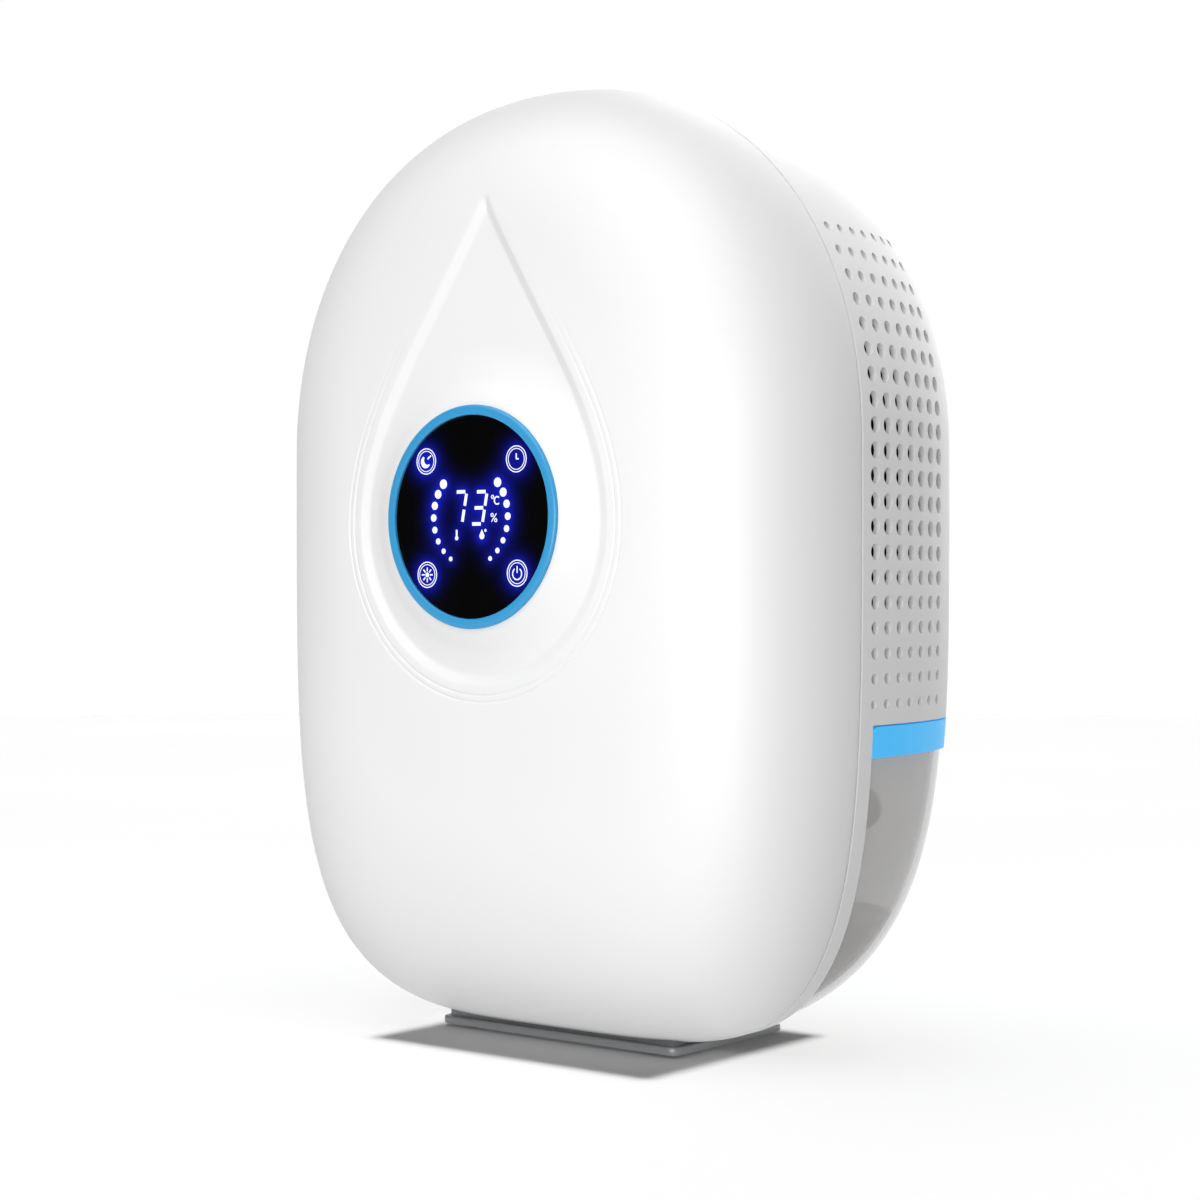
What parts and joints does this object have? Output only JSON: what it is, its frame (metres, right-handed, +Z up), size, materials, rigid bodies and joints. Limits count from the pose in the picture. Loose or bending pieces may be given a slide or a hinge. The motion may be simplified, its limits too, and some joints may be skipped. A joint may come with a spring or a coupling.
{
  "type": "dehumidifier",
  "caption": "Oval thermoelectric dehumidifier with round touch display, perforated sides, rear fan outlet and pull-out water tank.",
  "frame": {"origin": "on the floor under the middle of the body's box", "axes": "+Z up, -Y out of the display face, +X to the right seen from the front"},
  "size_m": [0.254, 0.164, 0.36],
  "materials": {
    "white_shell": "gloss",
    "blue_trim": "satin",
    "black_window": "gloss",
    "white_inner": "satin",
    "circuit_board": "satin",
    "grey_frame": "satin",
    "silver_plate": "satin",
    "rubber": "matte",
    "steel": "satin",
    "aluminium": "extruded",
    "ceramic": "matte",
    "foam": "matte",
    "black_plastic": "satin",
    "brass": "satin",
    "copper_winding": "enamelled",
    "cable_sheath": "satin",
    "smoke_clear": "gloss",
    "float_plastic": "satin",
    "magnet": "satin"
  },
  "bodies": {
    "housing": {"front_cover": "white_shell", "display_bezel": "blue_trim", "display_lens": "black_window", "display_light_guide": "white_inner", "display_pcb": "circuit_board", "display_holder": "white_inner", "display_screws": "steel", "rear_shell": "white_shell", "outlet_grille": "white_shell", "mid_frame": "grey_frame", "base_plate": "silver_plate", "rubber_feet": "rubber", "base_screws": "steel", "case_screws": "steel", "cold_heatsink": "aluminium", "peltier_module": "ceramic", "insulation_gasket": "foam", "hot_heatsink": "aluminium", "clamp_screws": "steel", "fan_posts": "steel", "fan_frame": "black_plastic", "fan_bearing": "brass", "fan_stator": "copper_winding", "fan_screws": "steel", "drip_funnel": "white_inner", "main_pcb": "circuit_board", "power_components": "black_plastic", "pcb_screws": "steel", "water_sensor": "circuit_board", "humidity_sensor": "circuit_board", "dc_jack": "black_plastic", "power_harness": "cable_sheath", "display_ribbon": "cable_sheath"},
    "fan": {"fan_rotor": "black_plastic"},
    "tank": {"water_tank": "smoke_clear", "tank_band": "blue_trim", "tank_lid": "white_inner", "float_pin": "steel"},
    "float": {"tank_float": "float_plastic", "float_magnet": "magnet"},
    "plug": {"drain_plug": "rubber"}
  },
  "joints": [
    {"name": "fan_spin", "type": "hinge", "parent": "housing", "child": "fan", "pos_m": [0, 0.06, 0.223], "axis": [0, 1, 0], "continuous": true},
    {"name": "tank_slide", "type": "slide", "parent": "housing", "child": "tank", "axis": [0, 1, 0], "range_m": [0, 0.1]},
    {"name": "float_swing", "type": "hinge", "parent": "tank", "child": "float", "pos_m": [0.04, 0.026, 0.105], "axis": [-1, 0, 0], "range_deg": [0, 20]},
    {"name": "plug_pull", "type": "slide", "parent": "tank", "child": "plug", "axis": [0, 1, 0], "range_m": [0, 0.012]}
  ]
}
